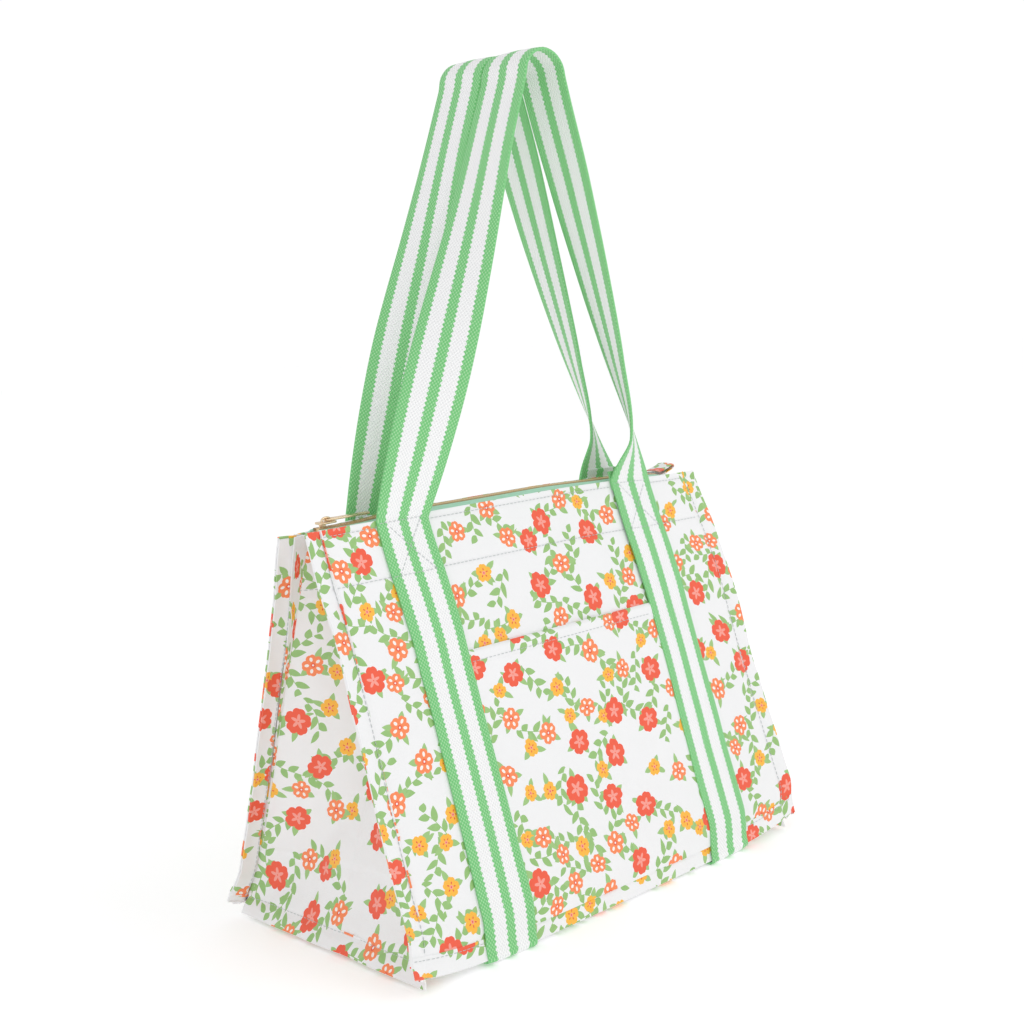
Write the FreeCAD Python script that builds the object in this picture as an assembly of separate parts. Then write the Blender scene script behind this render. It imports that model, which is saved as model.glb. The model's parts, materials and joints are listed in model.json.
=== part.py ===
import FreeCAD, Part
import math
import os

# Foldable zip-top tote bag, millimetres. X runs along the bag, the front faces -Y and Z is up.
# The origin is the middle of the base, on the surface the bag stands on.

# Overall sizes
base_length = 345.0         # front and back panels at the base, outside the side seams
top_length = 337.0          # the same at the top edge
base_depth = 176.0          # outside of front panel to outside of back panel, at the base
mouth_depth = 26.0          # the same at the top edge
body_height = 245.5         # base to top edge

# Cloth
cloth = 1.2                 # coated outer cloth
lining = 1.0                # lining cloth
facing = 1.0                # band sewn inside the mouth
facing_height = 35.5        # its depth below the top edge
seam_fin = 10.0             # side seams standing out past the gussets
base_wrap = 13.0            # base cloth turned up on to the front and back panels
seam_play = 0.3             # room between sewn edges of pieces that move apart
tuck_width = 14.0           # spare gusset cloth folded in at each back corner

# Front pocket
pocket_height = 166.0       # top of its hem above the base
pocket_hem = 8.0            # folded hem along its mouth

# Webbing straps and handles
webbing_width = 38.0
webbing_thick = 2.0
strap_spacing = 200.0       # centre to centre of the two straps on a panel
handle_rise = 270.5         # top edge of the bag to the top of the handle
handle_bend = 17.0          # radius of the bend at the top of the handle
handle_shift = 13.0         # the top of the handle stands this far right of the middle
handle_gap = 1.2            # room between the two handles where they meet

# Zip
tape_thick = 0.8
tape_lift = 0.3             # tape above the top edge
row_gap = 1.2               # between the two rows of teeth
row_width = 2.6
row_thick = 2.2
zip_left = 152.0            # left end of the tape, from the middle
zip_right = 138.0           # right end of the tape, from the middle
tape_edge = 0.5             # tape short of the panel's outer face
row_start = 1.0             # tape left bare before the first tooth
row_end = 2.0               # and after the last one
stop_thick = 1.8            # end stop, along the zip
stop_gap = 0.2
slider_length = 12.0
slider_width = 9.0
slider_start = 2.0          # slider from the left end of the tape
plate_thick = 1.1
slider_clear = 0.4          # between the teeth and the slider's plates
post_thick = 0.8            # post that joins the slider's two plates
post_inset = 1.0            # post from the slider's left end
bridge_height = 3.0         # arch on the slider that the pull hangs on
bridge_width = 1.8
bridge_leg = 1.4            # foot of the arch
bridge_roof = 1.0           # metal over the pull's eye
bridge_inset = 2.5          # arch short of each end of the slider
pull_length = 31.0
pull_width = 5.2
pull_thick = 1.2
eye_bar = 0.55              # radius of the bar that turns under the bridge
eye_cheek = 1.1             # sides of the pull's eye
eye_back = 0.6              # cheeks reach this far behind the bar
eye_front = 1.0             # and the blade starts this far past the bridge
slot_length = 5.5           # slot near the pull's free end
slot_width = 1.8
slot_inset = 2.0
end_tab_length = 18.0
end_tab_width = 15.0
end_tab_rise = 9.0
end_tab_thick = 2.4
end_tab_lift = 0.2          # tab above the underside of the tape

parts_folder = "parts"
os.makedirs(parts_folder, exist_ok=True)


def save(name, *shapes):
    """Write one node, from one solid or a group of separate solids."""
    shape = shapes[0] if len(shapes) == 1 else Part.makeCompound(list(shapes))
    shape.exportStep(os.path.join(parts_folder, name + ".step"))


def half_depth(z):
    """Middle of the bag to the outer face of the front or back panel."""
    return (base_depth + (mouth_depth - base_depth) * z / body_height) / 2


def half_length(z):
    """Middle of the bag to the outer edge of the side seam."""
    return (base_length + (top_length - base_length) * z / body_height) / 2


def half_inside(z):
    """Middle of the bag to the outer face of a gusset."""
    return half_length(z) - seam_fin


def hexahedron(low, high):
    """Solid between two four-sided outlines that run the same way round."""
    faces = [Part.Face(Part.makePolygon(ring + ring[:1])) for ring in (low, high)]
    for i in range(4):
        j = (i + 1) % 4
        ring = [low[i], low[j], high[j], high[i]]
        faces.append(Part.Face(Part.makePolygon(ring + ring[:1])))
    solid = Part.Solid(Part.Shell(faces))
    if solid.Volume < 0:
        solid.reverse()
    return solid


def between(z_low, z_high, outline):
    """Solid whose rectangle at each height is outline(z) = (x_low, x_high, y_low, y_high)."""
    rings = []
    for z in (z_low, z_high):
        x0, x1, y0, y1 = outline(z)
        corners = ((x0, y0), (x1, y0), (x1, y1), (x0, y1))
        rings.append([FreeCAD.Vector(x, y, z) for x, y in corners])
    return hexahedron(*rings)


def on_panel(side, x_low, x_high, inward, thick, z_low, z_high):
    """Layer along the front (side -1) or back (side 1) panel.

    It starts inward of the panel's outer face and is thick deep. x_low and x_high are
    numbers, or functions of the height.
    """
    def outline(z):
        x0 = x_low(z) if callable(x_low) else x_low
        x1 = x_high(z) if callable(x_high) else x_high
        far = side * (half_depth(z) - inward)
        near = side * (half_depth(z) - inward - thick)
        return x0, x1, min(far, near), max(far, near)
    return between(z_low, z_high, outline)


def on_gusset(end, inward, thick, z_low, z_high):
    """Layer along the left (end -1) or right (end 1) gusset, inward of its outer face."""
    def outline(z):
        far = end * (half_inside(z) - inward)
        near = end * (half_inside(z) - inward - thick)
        reach = half_depth(z) - cloth - seam_play
        return min(far, near), max(far, near), -reach, reach
    return between(z_low, z_high, outline)


def make_base():
    def outer(z):
        reach = half_depth(z) - cloth - seam_play
        return -half_length(z), half_length(z), -reach, reach

    def inner(z):
        reach = half_depth(z) - cloth - seam_play
        across = half_inside(z) - cloth
        return -across, across, -reach, reach

    save("base_panel", between(0, cloth, outer))
    save("base_lining", between(cloth, cloth + lining, inner))


def make_gusset(end, name):
    floor = cloth + lining
    save(name + "_gusset", on_gusset(end, 0, cloth, cloth, body_height))
    save(name + "_gusset_lining", on_gusset(end, cloth, lining, floor, body_height))

    def tuck(z):
        start = end * (half_inside(z) - cloth - lining)
        stop = start - end * tuck_width
        back = half_depth(z) - cloth - lining - facing - seam_play
        return min(start, stop), max(start, stop), back - cloth, back
    save(name + "_gusset_tuck", between(floor, body_height, tuck))


def make_panel(side, name):
    """Outer cloth, lining, facing, turned seams and sewn straps of one panel."""
    def across(inset):
        return (lambda z: -half_inside(z) + inset), (lambda z: half_inside(z) - inset)

    floor = cloth + lining
    left, right = (lambda z: -half_length(z)), half_length
    save(name + "_panel", on_panel(side, left, right, 0, cloth, 0, body_height))
    lining_left, lining_right = across(cloth + lining + seam_play)
    save(name + "_lining",
         on_panel(side, lining_left, lining_right, cloth, lining, floor, body_height))
    save(name + "_facing",
         on_panel(side, lining_left, lining_right, cloth + lining, facing,
                  body_height - facing_height, body_height))
    for end, label in ((-1, "left"), (1, "right")):
        edges = (lambda z: end * half_length(z)), (lambda z: end * half_inside(z))
        low, high = edges if end < 0 else edges[::-1]
        save(name + "_" + label + "_seam",
             on_panel(side, low, high, cloth, cloth, cloth, body_height))
        middle = end * strap_spacing / 2
        save(name + "_" + label + "_strap",
             on_panel(side, middle - webbing_width / 2, middle + webbing_width / 2,
                      -webbing_thick, webbing_thick, 0, body_height))
    inner = (strap_spacing - webbing_width) / 2 - seam_play
    outer = (strap_spacing + webbing_width) / 2 + seam_play
    save(name + "_bottom_seam",
         on_panel(side, left, -outer, -cloth, cloth, 0, base_wrap),
         on_panel(side, -inner, inner, -cloth, cloth, 0, base_wrap),
         on_panel(side, outer, right, -cloth, cloth, 0, base_wrap))


def make_pocket():
    reach = (strap_spacing - webbing_width) / 2 - seam_play
    hem_floor = pocket_height - pocket_hem
    save("front_pocket", on_panel(-1, -reach, reach, -cloth, cloth, base_wrap, hem_floor))
    save("front_pocket_hem",
         on_panel(-1, -reach, reach, -2 * cloth, 2 * cloth, hem_floor, pocket_height))


def handle_route():
    """Stations along a handle: x, height above the top edge, slope of the route and twist.

    Each leg leaves its strap straight up, leans in along a straight line and meets a half
    circle at the top. The twist is 0 where the webbing lies flat on the panel and 90
    degrees where it lies level across the hand. Both handles twist the same way, so that
    they lie side by side.
    """
    bend_height = handle_rise - handle_bend
    left_foot, right_foot = -strap_spacing / 2, strap_spacing / 2
    left_top, right_top = handle_shift - handle_bend, handle_shift + handle_bend
    knee = 0.12             # share of the rise where the right leg starts to lean in
    left = [(0.0, 0.0), (0.16, 20.0), (0.36, 45.0), (0.58, 70.0), (0.8, 86.0)]
    right = [(0.0, 0.0), (knee, 40.0), (0.33, 62.0), (0.55, 76.0), (0.8, 87.0)]
    stations = []
    lean = math.atan2(left_top - left_foot, bend_height)
    for share, twist in left:
        x = left_foot + (left_top - left_foot) * share
        stations.append((x, share * bend_height, lean if share else 0.0, twist))
    steps = 6
    for i in range(steps + 1):
        turn = math.pi * i / steps
        x = handle_shift - handle_bend * math.cos(turn)
        height = bend_height + handle_bend * math.sin(turn)
        slope = lean + (math.pi - 2 * lean) * i / steps
        stations.append((x, height, slope, 90.0))
    lean = math.atan2(right_foot - right_top, bend_height * (1 - knee))
    for share, twist in reversed(right):
        inward = max(0.0, share - knee) / (1 - knee)
        x = right_foot + (right_top - right_foot) * inward
        slope = math.pi - (lean if share > knee else lean / 2 if share else 0.0)
        stations.append((x, share * bend_height, slope, twist))
    return stations


def make_handle(side, name):
    foot = mouth_depth / 2 + webbing_thick / 2
    crown = webbing_width / 2 + handle_gap / 2
    sections = []
    for x, height, slope, twist in handle_route():
        turn = math.radians(twist)
        along = FreeCAD.Vector(math.sin(slope), 0, math.cos(slope))
        flat = FreeCAD.Vector(-math.cos(slope), 0, math.sin(slope))
        width = flat * math.cos(turn) + FreeCAD.Vector(0, math.sin(turn), 0)
        thick = along.cross(width)
        y = side * (foot + (crown - foot) * math.sin(turn))
        centre = FreeCAD.Vector(x, y, body_height + seam_play + height)
        w = width * (webbing_width / 2)
        t = thick * (webbing_thick / 2)
        ring = [centre - w - t, centre + w - t, centre + w + t, centre - w + t]
        sections.append(Part.makePolygon(ring + ring[:1]))
    save(name, Part.makeLoft(sections, True, True))


def make_zip():
    tape_low = body_height + tape_lift
    row_middle = tape_low + tape_thick / 2
    row_inner = row_gap / 2
    row_outer = row_inner + row_width
    tape_outer = mouth_depth / 2 - tape_edge
    for side, name in ((-1, "front"), (1, "back")):
        y0, y1 = sorted((side * row_outer, side * tape_outer))
        save("zip_tape_" + name,
             Part.makeBox(zip_left + zip_right, y1 - y0, tape_thick,
                          FreeCAD.Vector(-zip_left, y0, tape_low)))
        y0, y1 = sorted((side * row_inner, side * row_outer))
        save("zip_teeth_" + name,
             Part.makeBox(zip_left + zip_right - row_start - row_end, y1 - y0, row_thick,
                          FreeCAD.Vector(row_start - zip_left, y0, row_middle - row_thick / 2)))
    stop_low = row_middle - row_thick / 2
    save("zip_end_stop",
         Part.makeBox(stop_thick, 2 * row_outer, row_thick,
                      FreeCAD.Vector(zip_right + stop_gap, -row_outer, stop_low)))

    # The end of the tape is wrapped in a folded scrap of cloth that stands up.
    x0 = zip_right + stop_gap + stop_thick + stop_gap
    x1 = x0 + end_tab_length
    half = end_tab_width / 2
    low = tape_low + end_tab_lift
    tip = end_tab_rise - end_tab_thick
    profile = [(x0, low), (x1, low + tip), (x1 - end_tab_thick / 2, low + end_tab_rise),
               (x0, low + end_tab_thick)]
    wire = Part.makePolygon([FreeCAD.Vector(x, -half, z) for x, z in profile + profile[:1]])
    save("zip_end_tab", Part.Face(wire).extrude(FreeCAD.Vector(0, 2 * half, 0)))


def make_slider():
    x0 = slider_start - zip_left
    row_middle = body_height + tape_lift + tape_thick / 2
    slope = (base_depth - mouth_depth) / 2 / body_height
    rise = slope * slider_width / 2         # the back row lifts this much as it swings out
    low = row_middle - row_thick / 2 - slider_clear - plate_thick
    top = row_middle + row_thick / 2 + slider_clear + rise
    half = slider_width / 2

    def plate(z):
        block = Part.makeBox(slider_length, slider_width, plate_thick,
                             FreeCAD.Vector(x0, -half, z))
        edges = [e for e in block.Edges if abs(e.tangentAt(e.FirstParameter).z) > 0.9]
        return block.makeFillet(slider_width / 4, edges)

    post = Part.makeBox(slider_length / 3, post_thick, top - low,
                        FreeCAD.Vector(x0 + post_inset, -post_thick / 2, low))
    body = plate(low).fuse([plate(top), post]).removeSplitter()
    save("slider_body", body)

    # The bridge is a flat arch along the slider; the pull's eye rides under it.
    deck = top + plate_thick
    middle = x0 + slider_length / 2
    span = slider_length - 2 * bridge_inset
    opening = bridge_height - bridge_roof
    outer = Part.makeBox(span, bridge_width, bridge_height,
                         FreeCAD.Vector(middle - span / 2, -bridge_width / 2, deck))
    hole = Part.makeBox(span - 2 * bridge_leg, 2 * bridge_width, opening,
                        FreeCAD.Vector(middle - span / 2 + bridge_leg, -bridge_width, deck))
    save("slider_bridge", outer.cut(hole))

    # The pull lies along the zip. Its eye is a ring whose bar passes under the bridge.
    pivot_z = deck + opening / 2
    low = pivot_z - pull_thick / 2
    bar = Part.makeCylinder(eye_bar, pull_width,
                            FreeCAD.Vector(middle, -pull_width / 2, pivot_z), FreeCAD.Vector(0, 1, 0))
    blade_x = middle + span / 2 + eye_front
    cheek_length = blade_x - middle + 2 * eye_back
    cheeks = []
    for y in (-pull_width / 2, pull_width / 2 - eye_cheek):
        cheeks.append(Part.makeBox(cheek_length, eye_cheek, pull_thick,
                                   FreeCAD.Vector(middle - eye_back, y, low)))
    blade = Part.makeBox(pull_length - (blade_x - middle), pull_width, pull_thick,
                         FreeCAD.Vector(blade_x, -pull_width / 2, low))
    slot = Part.makeBox(slot_length, slot_width, 2 * pull_thick,
                        FreeCAD.Vector(middle + pull_length - slot_inset - slot_length,
                                       -slot_width / 2, low - pull_thick / 2))
    save("slider_pull", bar.fuse(cheeks + [blade]).removeSplitter().cut(slot))


make_base()
make_gusset(-1, "left")
make_gusset(1, "right")
make_panel(-1, "front")
make_panel(1, "back")
make_pocket()
make_handle(-1, "front_handle")
make_handle(1, "back_handle")
make_zip()
make_slider()
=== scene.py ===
import json
import math
import bpy
from mathutils import Matrix, Vector, noise

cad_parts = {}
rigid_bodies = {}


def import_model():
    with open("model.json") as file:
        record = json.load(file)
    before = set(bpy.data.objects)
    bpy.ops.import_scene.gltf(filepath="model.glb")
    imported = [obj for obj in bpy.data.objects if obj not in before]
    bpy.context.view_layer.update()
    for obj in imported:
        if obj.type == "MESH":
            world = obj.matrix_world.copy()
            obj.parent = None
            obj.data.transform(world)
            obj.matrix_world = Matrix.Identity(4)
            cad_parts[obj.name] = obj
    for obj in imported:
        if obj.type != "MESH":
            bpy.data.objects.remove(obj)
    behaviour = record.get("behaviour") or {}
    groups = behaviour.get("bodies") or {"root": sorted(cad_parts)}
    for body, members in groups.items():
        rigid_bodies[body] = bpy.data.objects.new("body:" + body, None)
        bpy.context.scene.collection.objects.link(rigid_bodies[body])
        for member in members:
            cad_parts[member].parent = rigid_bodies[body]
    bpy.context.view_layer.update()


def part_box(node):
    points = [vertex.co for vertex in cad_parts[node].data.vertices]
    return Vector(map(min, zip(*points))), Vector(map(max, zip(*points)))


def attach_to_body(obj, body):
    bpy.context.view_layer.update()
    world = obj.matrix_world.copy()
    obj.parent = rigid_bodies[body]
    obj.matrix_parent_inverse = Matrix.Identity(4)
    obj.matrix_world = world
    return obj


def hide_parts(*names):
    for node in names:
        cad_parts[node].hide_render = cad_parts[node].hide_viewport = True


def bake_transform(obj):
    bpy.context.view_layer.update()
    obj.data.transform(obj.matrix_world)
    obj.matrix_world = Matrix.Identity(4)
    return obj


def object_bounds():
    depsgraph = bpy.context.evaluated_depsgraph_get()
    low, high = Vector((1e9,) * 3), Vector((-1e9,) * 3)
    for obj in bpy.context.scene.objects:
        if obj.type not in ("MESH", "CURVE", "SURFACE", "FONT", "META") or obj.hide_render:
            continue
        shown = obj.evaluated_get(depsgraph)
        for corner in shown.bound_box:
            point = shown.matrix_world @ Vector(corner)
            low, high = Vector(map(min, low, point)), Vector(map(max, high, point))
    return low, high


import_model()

scene = bpy.context.scene

# Sizes of the bag, read from the frame
panelLow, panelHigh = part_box("front_panel")
clothThick = 0.0012
bodyHeight = panelHigh.z
halfBase = -panelLow.y                                  # middle to the outside of a panel, at the base
halfMouth = -panelHigh.y + clothThick                   # the same at the top edge
baseHalf = panelHigh.x                                  # half the length at the base, fins included
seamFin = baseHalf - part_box("right_gusset")[1].x        # width of a side fin
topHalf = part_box("front_right_seam")[0].x + seamFin     # half the length at the top edge
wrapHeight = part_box("front_bottom_seam")[1].z           # base cloth turned up on to the panels
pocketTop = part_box("front_pocket_hem")[1].z
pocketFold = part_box("front_pocket_hem")[0].z
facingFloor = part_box("front_facing")[0].z
strapLow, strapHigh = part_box("front_left_strap")
webWidth = strapHigh.x - strapLow.x
strapX = -(strapLow.x + strapHigh.x) / 2
slant = math.atan2(halfBase - halfMouth, bodyHeight)    # lean of a panel from upright
slantLength = bodyHeight / math.cos(slant)
turnRadius = 0.0018                                     # how round the bottom edges are
turnReach = turnRadius * (1 + math.sin(slant)) / math.cos(slant)
turnLength = turnRadius * (math.pi / 2 + slant)

# How softly the empty bag stands: smaller values make it crisper
softness = {
    "cornerLift": 0.0090,       # the bottom corners stand this much above the middle of the base
    "liftFade": 0.0900,
    "lean": 0.0052,             # the body swings this far to the right between base and mouth
    "leanSpread": 0.0013,
    "arch": 0.0023,             # the mouth stands this much above its drawn height, up to the middle
    "rightDroop": 0.0016,       # its right end hangs lower
    "backDroop": 0.0042,        # and so does the left end of the back
    "puff": 0.0015,
    "ripple": 0.0005,
    "groove": 0.0011,           # pull of the stitches beside a fin
}


def ramp(value, low, high):
    t = min(1.0, max(0.0, (value - low) / (high - low)))
    return t * t * (3.0 - 2.0 * t)


def halfDepth(z):
    return halfBase + (halfMouth - halfBase) * z / bodyHeight


def halfInside(z):
    return baseHalf - seamFin + (topHalf - baseHalf) * z / bodyHeight


def mouthLift(x, y):
    # how far the top edge is above or below its drawn height
    arch = softness["arch"] * (1.0 - ramp(x, 0.020, 0.140))
    back = softness["backDroop"] * (1.0 - ramp(x, -0.168, -0.080)) * ramp(y, -0.011, 0.012)
    return arch - back - softness["rightDroop"] * ramp(x, 0.080, 0.165)


def settle(x, y, z):
    # the slouch that every piece of the body shares
    share = x / baseHalf
    body = ramp(z, 0.004, 0.024) * (1.0 - ramp(z, 0.170, bodyHeight))
    shifted = x + (softness["lean"] + softness["leanSpread"] * share) * body
    lifted = z + softness["cornerLift"] * abs(share) ** 5 * (1.0 - ramp(z, 0.0, softness["liftFade"]))
    lifted += mouthLift(x, y) * ramp(z, 0.150, bodyHeight)
    return Vector((shifted, y, lifted))


def panelWave(side, x, v):
    slow = noise.noise(Vector((x * 14.0, v * 11.0, 3.0 * side)))
    quick = noise.noise(Vector((x * 45.0, v * 40.0, 7.0 + side)))
    edges = ramp(v, 0.0, 0.03) * (1.0 - ramp(v, slantLength - 0.03, slantLength))
    return (softness["puff"] * slow + softness["ripple"] * quick) * edges


def finShape(x, z):
    # the seam pinches the cloth, and the fin outside it waves a little
    past = abs(x) - halfInside(z)
    pinch = -softness["groove"] * math.exp(-(past / 0.0026) ** 2)
    if past <= 0.0:
        return pinch
    wave = noise.noise(Vector((z * 30.0, x * 5.0, 2.0)))
    return pinch + ramp(past, 0.0, seamFin) * (0.0006 + 0.0012 * wave)


def panelSpot(side, x, v, out=0.0):
    # v is the way up the face of the panel; under turnReach it runs round and on below the base
    if v >= turnReach:
        turned = slant
        y, z = halfBase - v * math.sin(slant), v * math.cos(slant)
    else:
        turned = max(slant - (turnReach - v) / turnRadius, -math.pi / 2)
        y = halfBase - turnReach * math.sin(slant) + turnRadius * (math.cos(turned) - math.cos(slant))
        z = turnRadius * (1.0 + math.sin(turned))
        y -= max(0.0, turnReach - turnLength - v)
        straight = ramp(abs(x), halfInside(0.0) - 0.005, halfInside(0.0) + 0.001)
        if straight > 0.0:
            # the fins do not turn under: they stop square, just above the table
            rest = max(0.0012, 0.0012 + (v - turnReach + turnLength) * (turnReach - 0.0012) / turnLength)
            turned += (slant - turned) * straight
            y += (halfBase - rest * math.sin(slant) - y) * straight
            z += (rest * math.cos(slant) - z) * straight
    lift = out + panelWave(side, x, v) + finShape(x, z)
    return settle(x, side * (y + math.cos(turned) * lift), z + math.sin(turned) * lift)


def columnX(c, z):
    # c runs -1..1 between the side seams, and on to -2 or 2 across the fins
    inner = min(1.0, max(-1.0, c))
    return inner * halfInside(z) + (c - inner) * seamFin


gusset = {
    "foldDepth": 0.034,         # the middle of the gusset folds in this far, from the crease up to the mouth
    "creaseHeight": 0.095,      # slanting creases run from the bottom corners up to this height at the middle
    "soften": 0.11,
    "dip": 0.0085,              # the folded top edge sinks below the slider
    "hang": 0.0058,             # the turned seam hangs below the base
    "finHeight": 0.0100,        # turned seam along its lower edge
    "bands": 6, "bend": 1.06,
}


def gussetFold(c, z):
    # nothing at the sides and the base, one at the middle above the creases
    across, upward = 1.0 - abs(c), z / gusset["creaseHeight"]
    gap, soft = abs(across - upward), gusset["soften"]
    least = min(across, upward) - (max(0.0, soft - gap) ** 2) / (4.0 * soft)
    least -= max(0.0, 0.06 - abs(c)) ** 2 / 0.24
    return max(0.0, least)


def gussetReach(z):
    # half the width of the cloth, measured round the fold
    return math.hypot(halfDepth(z), gusset["foldDepth"] * min(1.0, z / gusset["creaseHeight"]))


def gussetSpot(end, c, z, out=0.0):
    # c runs -1..1 from the front corner to the back one
    reach = halfDepth(z) - clothThick - 0.0003
    folded = gussetFold(c, z)
    flare = 0.0022 * (1.0 - ramp(z, 0.0, gusset["finHeight"] + 0.001))
    dent = 0.0009 * math.exp(-((z - gusset["finHeight"]) / 0.002) ** 2)
    wave = noise.noise(Vector((c * 2.6 + 5.0 * end, z * 12.0, 4.0))) * 0.0018 * (1.0 - c * c)
    inward = gusset["foldDepth"] * folded - flare + dent + wave - out
    spot = settle(end * (halfInside(z) - inward), c * reach, z)
    spot.z -= gusset["hang"] * (1.0 - ramp(z, 0.0, 0.050))
    spot.z -= gusset["dip"] * folded * ramp(z, bodyHeight - 0.045, bodyHeight)
    return spot


def baseSpot(x, y, up):
    # the ends of the base rise to the gusset seams, and the middle rests on the table
    rise = (gusset["finHeight"] - gusset["hang"]) * ramp(abs(x), 0.118, baseHalf - seamFin) ** 1.4
    rise *= 1.0 - 0.55 * ramp(abs(y), 0.066, halfBase)
    return settle(x, y, 0.0) + Vector((0.0, 0.0, up + rise))


# Colours are written as on a paint card, 0 to 255
def ink(red, green, blue):
    def straight(value):
        value /= 255.0
        return value / 12.92 if value <= 0.04045 else ((value + 0.055) / 1.055) ** 2.4
    return straight(red), straight(green), straight(blue), 1.0


def feed(tree, value, socket):
    if isinstance(value, bpy.types.NodeSocket):
        tree.links.new(value, socket)
    elif value is not None:
        socket.default_value = value


def calc(tree, operation, a, b=None, c=None):
    step = tree.nodes.new("ShaderNodeMath")
    step.operation = operation
    for value, socket in zip((a, b, c), step.inputs):
        feed(tree, value, socket)
    return step.outputs[0]


def plus(tree, a, b):
    return calc(tree, "ADD", a, b)


def minus(tree, a, b):
    return calc(tree, "SUBTRACT", a, b)


def times(tree, a, b):
    return calc(tree, "MULTIPLY", a, b)


def divided(tree, a, b):
    return calc(tree, "DIVIDE", a, b)


def scaleAdd(tree, a, factor, more):
    return calc(tree, "MULTIPLY_ADD", a, factor, more)


def positive(tree, a):
    return calc(tree, "ABSOLUTE", a)


def isBelow(tree, a, limit):
    return calc(tree, "LESS_THAN", a, limit)


def isAbove(tree, a, limit):
    return calc(tree, "GREATER_THAN", a, limit)


def vectorCalc(tree, operation, a, b=None):
    step = tree.nodes.new("ShaderNodeVectorMath")
    step.operation = operation
    for value, socket in zip((a, b), step.inputs):
        feed(tree, value, socket)
    return step.outputs["Vector"]


def scaled(tree, vector, amount):
    step = tree.nodes.new("ShaderNodeVectorMath")
    step.operation = "SCALE"
    feed(tree, vector, step.inputs[0])
    feed(tree, amount, step.inputs["Scale"])
    return step.outputs["Vector"]


def parts(tree, vector):
    step = tree.nodes.new("ShaderNodeSeparateXYZ")
    feed(tree, vector, step.inputs[0])
    return step.outputs[0], step.outputs[1], step.outputs[2]


def joined(tree, x, y, z=0.0):
    step = tree.nodes.new("ShaderNodeCombineXYZ")
    for value, socket in zip((x, y, z), step.inputs):
        feed(tree, value, socket)
    return step.outputs[0]


def mixed(tree, share, under, over):
    step = tree.nodes.new("ShaderNodeMix")
    step.data_type = "RGBA"
    feed(tree, share, step.inputs["Factor"])
    feed(tree, under, step.inputs["A"])
    feed(tree, over, step.inputs["B"])
    return next(o for o in step.outputs if o.type == "RGBA")


def noised(tree, place, scale, detail=2.0, colour=False):
    step = tree.nodes.new("ShaderNodeTexNoise")
    feed(tree, place, step.inputs["Vector"])
    step.inputs["Scale"].default_value = scale
    step.inputs["Detail"].default_value = detail
    return step.outputs["Color" if colour else "Fac"]


def clothPlace(tree, layer="place"):
    step = tree.nodes.new("ShaderNodeUVMap")
    step.uv_map = layer
    return step.outputs["UV"]


def groupOf(name, inputs, outputs):
    tree = bpy.data.node_groups.new(name, "ShaderNodeTree")
    for label, kind in inputs:
        tree.interface.new_socket(label, in_out="INPUT", socket_type=kind)
    for label, kind in outputs:
        tree.interface.new_socket(label, in_out="OUTPUT", socket_type=kind)
    return tree, tree.nodes.new("NodeGroupInput"), tree.nodes.new("NodeGroupOutput")


flowerPrint = {
    "cell": 0.0290,             # one flower in each square of the repeat
    "jitter": 0.0090,
    "redSize": 0.0084,
    "orangeSize": 0.0068,
    "yellowSize": 0.0058,
    "leafWidth": 0.0019,
    "leafReach": 0.0072,
    "red": ink(243, 90, 58),
    "pink": ink(250, 160, 146),
    "orange": ink(252, 138, 84),
    "hole": ink(250, 246, 240),
    "ring": ink(240, 92, 58),
    "yellow": ink(253, 186, 58),
    "dot": ink(232, 84, 62),
    "leaf": ink(158, 199, 126),
    "leafDark": ink(142, 188, 110),
    "ground": ink(244, 244, 245),
    "groundDark": ink(240, 240, 241),
    "turn": math.radians(24.0),     # the repeat lies askew on the cloth
    "drift": 0.007,                 # and wanders by this much, so that no rows show
    "rough": 0.30,
    "roughMore": 0.22,
    "grainHigh": 0.00045,
}


fullTurn = 6.283


def cellOf(tree, place, cell, seed):
    # which square of the repeat a spot is in, where in it, and that square's own chances
    cells = vectorCalc(tree, "ADD", scaled(tree, place, 1.0 / cell), seed)
    index = vectorCalc(tree, "FLOOR", cells)
    inside = vectorCalc(tree, "SUBTRACT", cells, vectorCalc(tree, "ADD", index, (0.5, 0.5, 0.0)))
    chance = tree.nodes.new("ShaderNodeTexWhiteNoise")
    chance.noise_dimensions = "3D"
    feed(tree, vectorCalc(tree, "ADD", index, vectorCalc(tree, "MULTIPLY", seed, (7.0, 7.0, 7.0))),
         chance.inputs["Vector"])
    return scaled(tree, inside, cell), chance.outputs["Value"], parts(tree, chance.outputs["Color"])


def leafBelly(tree, along, width):
    # half the width of a leaf from its foot at 0 to its point at 1
    inside = calc(tree, "MINIMUM", 1.0, calc(tree, "MAXIMUM", 0.0, along))
    taper = minus(tree, 1.0, inside)
    return times(tree, times(tree, calc(tree, "POWER", inside, 0.6), taper), 2.88 * width)


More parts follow.
